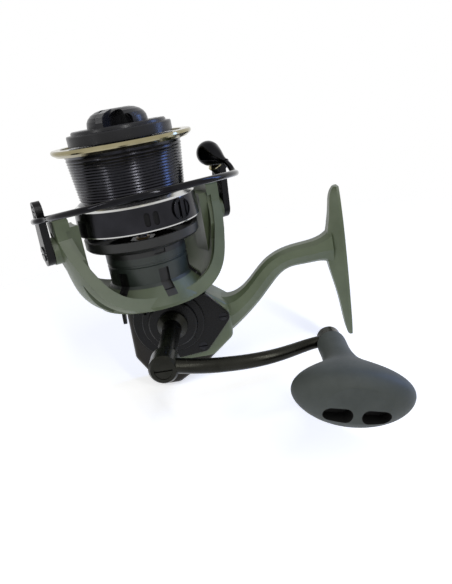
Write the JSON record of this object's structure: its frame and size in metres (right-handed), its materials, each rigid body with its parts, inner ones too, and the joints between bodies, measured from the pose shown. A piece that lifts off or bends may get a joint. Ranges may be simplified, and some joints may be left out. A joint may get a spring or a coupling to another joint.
{
  "type": "feeder reel",
  "caption": "Open-face spinning reel for feeder fishing, with a deep spool, front drag knob, folding bail, spinning rotor, cranked handle and a foot that seats on the rod.",
  "frame": {"origin": "middle of the foot's seat face, where the rod holds the reel", "axes": "+X out of the seat face toward the rod, +Z along the spool's axis toward the drag knob, -Y toward the handle's side"},
  "size_m": [0.1434, 0.1459, 0.1398],
  "materials": {
    "green_paint": "satin sage green paint on cast aluminium",
    "gloss_black": "glossy black",
    "satin_black": "satin black paint on metal",
    "black_anodised": "polished black anodised aluminium",
    "champagne": "polished champagne anodised aluminium",
    "steel": "machined stainless steel",
    "brass": "machined brass",
    "zinc": "die-cast metal, machined",
    "grip_rubber": "dark grey moulded grip",
    "black_plastic": "matt black moulded plastic",
    "felt": "pressed felt, oiled"
  },
  "bodies": {
    "case": {"gear_case": "green_paint", "side_cover": "satin_black", "belly_guard": "gloss_black", "cover_screws": "steel", "pinion_bearing": "steel", "pinion_bush": "brass", "drive_bearings": "steel", "clutch_ring": "steel", "clutch_rollers": "steel", "clutch_retainer": "steel", "retainer_screws": "steel", "slider_guide": "steel", "shaft_cap": "satin_black"},
    "anti_reverse": {"anti_reverse_lever": "satin_black"},
    "drive": {"drive_gear": "zinc", "handle_hub": "satin_black", "handle_arm": "satin_black", "knuckle_cap": "satin_black", "knob_spindle": "steel", "spindle_screw": "steel"},
    "knob": {"knob_core": "black_plastic", "knob_grip": "grip_rubber", "knob_bearings": "steel"},
    "worm": {"worm_shaft": "steel", "worm_gear": "black_plastic"},
    "rotor": {"rotor": "green_paint", "pinion": "brass", "clutch_sleeve": "steel", "rotor_nut": "steel", "nut_lock_screw": "steel", "roller_arm_cover": "satin_black", "bail_spring": "steel", "pivot_screws": "steel"},
    "bail": {"bail_lever": "satin_black", "bail_screw": "steel", "roller_lever": "satin_black", "bail_wire": "gloss_black", "bail_cone": "gloss_black", "roller_screw": "steel", "roller_bush": "black_plastic"},
    "roller": {"line_roller": "champagne"},
    "shaft": {"main_shaft": "steel", "slider": "zinc", "spool_seat": "zinc", "seat_pin": "steel", "click_wheel": "black_plastic", "keyed_washers": "steel"},
    "spool": {"spool": "black_anodised", "lip_ring": "champagne", "line_clip": "black_anodised", "spool_bush": "black_plastic", "felt_washers": "felt", "eared_washer": "steel", "washer_clip": "steel", "click_pawl": "steel"},
    "drag_knob": {"drag_knob": "gloss_black", "drag_knob_grip": "gloss_black", "drag_nut": "steel", "drag_spring": "steel"}
  },
  "joints": [
    {"name": "handle_turn", "type": "hinge", "parent": "case", "child": "drive", "pos_m": [-0.09, -0.02, -0.013], "axis": [0, -1, 0], "continuous": true},
    {"name": "knob_spin", "type": "hinge", "parent": "drive", "child": "knob", "pos_m": [-0.0205, -0.085, -0.013], "axis": [0, -1, 0], "continuous": true},
    {"name": "rotor_spin", "type": "hinge", "parent": "case", "child": "rotor", "pos_m": [-0.098, 0, 0.017], "axis": [0, 0, 1], "continuous": true},
    {"name": "worm_spin", "type": "hinge", "parent": "case", "child": "worm", "pos_m": [-0.10518, -0.0025, -0.018], "axis": [0, 0, 1], "continuous": true},
    {"name": "bail_flip", "type": "hinge", "parent": "rotor", "child": "bail", "pos_m": [-0.098, 0, 0.034], "axis": [-0.878, -0.4787, 0], "range_deg": [0, 95]},
    {"name": "line_roller_spin", "type": "hinge", "parent": "bail", "child": "roller", "pos_m": [-0.05705, 0.01777, 0.05785], "axis": [-0.4412, -0.2975, 0.8467], "continuous": true},
    {"name": "spool_stroke", "type": "slide", "parent": "case", "child": "shaft", "axis": [0, 0, 1], "range_m": [-0.015, 0]},
    {"name": "drag_slip", "type": "hinge", "parent": "shaft", "child": "spool", "pos_m": [-0.098, 0, 0.067], "axis": [0, 0, 1], "continuous": true},
    {"name": "drag_knob_turn", "type": "hinge", "parent": "shaft", "child": "drag_knob", "pos_m": [-0.098, 0, 0.08], "axis": [0, 0, 1], "range_deg": [-360, 360]},
    {"name": "anti_reverse_flip", "type": "hinge", "parent": "case", "child": "anti_reverse", "pos_m": [-0.115, -0.003, -0.0064], "axis": [1, 0, 0], "range_deg": [0, 45]}
  ],
  "couplings": [
    {"joint": "rotor_spin", "follows": "handle_turn", "ratio": 4.6},
    {"joint": "worm_spin", "follows": "handle_turn", "ratio": -3.8333}
  ]
}
